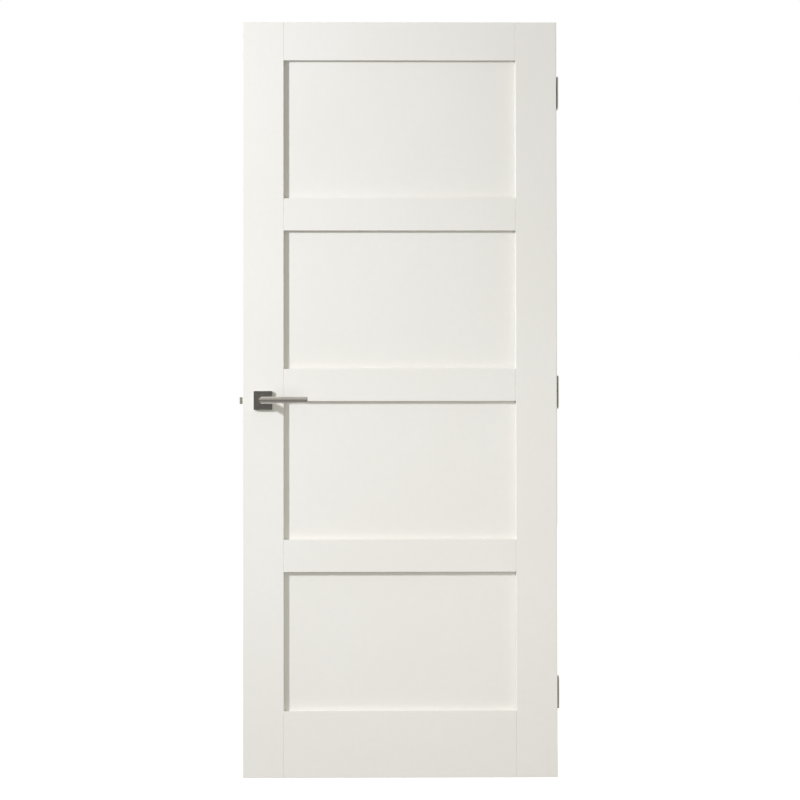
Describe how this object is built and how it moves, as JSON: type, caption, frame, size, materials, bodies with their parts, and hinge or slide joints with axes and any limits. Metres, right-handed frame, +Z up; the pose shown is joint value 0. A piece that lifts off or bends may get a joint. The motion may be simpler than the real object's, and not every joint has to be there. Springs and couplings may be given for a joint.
{
  "type": "panelled interior door",
  "caption": "White four-panel shaker door leaf with a round steel lever on square rosettes, a tubular latch and butt hinges ready to hang.",
  "frame": {"origin": "middle of the leaf's width and thickness, at its bottom edge", "axes": "+X to the hinge side seen from the front, -Y out of the front face, +Z up"},
  "size_m": [0.8965, 0.16, 2.115],
  "materials": {
    "painted_wood": "satin",
    "bare_wood": "matte",
    "brushed_stainless": "satin",
    "hinge_steel": "satin",
    "zinc_steel": "satin",
    "spring_steel": "satin",
    "screw_steel": "satin",
    "nickel": "polished",
    "nylon": "matte"
  },
  "bodies": {
    "jamb_side": {"hinge_jamb_plate_bottom": "hinge_steel", "hinge_jamb_plate_middle": "hinge_steel", "hinge_jamb_plate_top": "hinge_steel", "hinge_pin_bottom": "hinge_steel", "hinge_pin_middle": "hinge_steel", "hinge_pin_tips": "hinge_steel", "hinge_pin_top": "hinge_steel", "hinge_washers": "nylon"},
    "leaf": {"bottom_panel": "painted_wood", "bottom_rail": "painted_wood", "hinge_door_plate_bottom": "hinge_steel", "hinge_door_plate_middle": "hinge_steel", "hinge_door_plate_top": "hinge_steel", "hinge_screws": "screw_steel", "hinge_stile": "painted_wood", "latch_bolt_spring": "spring_steel", "latch_case": "zinc_steel", "latch_faceplate": "brushed_stainless", "latch_faceplate_screws": "screw_steel", "latch_spring_seat": "zinc_steel", "latch_stile": "painted_wood", "lever_bush_back": "nylon", "lever_bush_front": "nylon", "lever_return_spring_back": "spring_steel", "lever_return_spring_front": "spring_steel", "lock_rail": "painted_wood", "lower_panel": "painted_wood", "lower_rail": "painted_wood", "rail_dowels": "bare_wood", "rosette_base_back": "nylon", "rosette_base_front": "nylon", "rosette_bolts": "screw_steel", "rosette_cover_back": "brushed_stainless", "rosette_cover_front": "brushed_stainless", "top_panel": "painted_wood", "top_rail": "painted_wood", "upper_panel": "painted_wood", "upper_rail": "painted_wood"},
    "handle": {"latch_follower": "zinc_steel", "lever_back": "brushed_stainless", "lever_circlip_back": "spring_steel", "lever_circlip_front": "spring_steel", "lever_core_back": "zinc_steel", "lever_core_front": "zinc_steel", "lever_front": "brushed_stainless", "lever_grub_screws": "screw_steel", "spindle": "zinc_steel"},
    "bolt": {"latch_bolt": "nickel"}
  },
  "joints": [
    {"name": "leaf_swing", "type": "hinge", "parent": "jamb_side", "child": "leaf", "pos_m": [0.4415, 0.0265, 0], "axis": [0, 0, -1], "range_deg": [0, 170]},
    {"name": "handle_turn", "type": "hinge", "parent": "leaf", "child": "handle", "pos_m": [-0.383, 0, 1.0535], "axis": [0, 1, 0], "range_deg": [0, 50], "stiffness_Nm_per_rad": 1.2, "springref_deg": -34.38},
    {"name": "latch_slide", "type": "slide", "parent": "leaf", "child": "bolt", "axis": [1, 0, 0], "range_m": [0, 0.009], "stiffness_N_per_m": 200, "springref_m": -0.012, "deforming": ["latch_bolt_spring"]}
  ],
  "couplings": [
    {"joint": "latch_slide", "follows": "handle_turn", "m_per_rad": 0.01031}
  ]
}
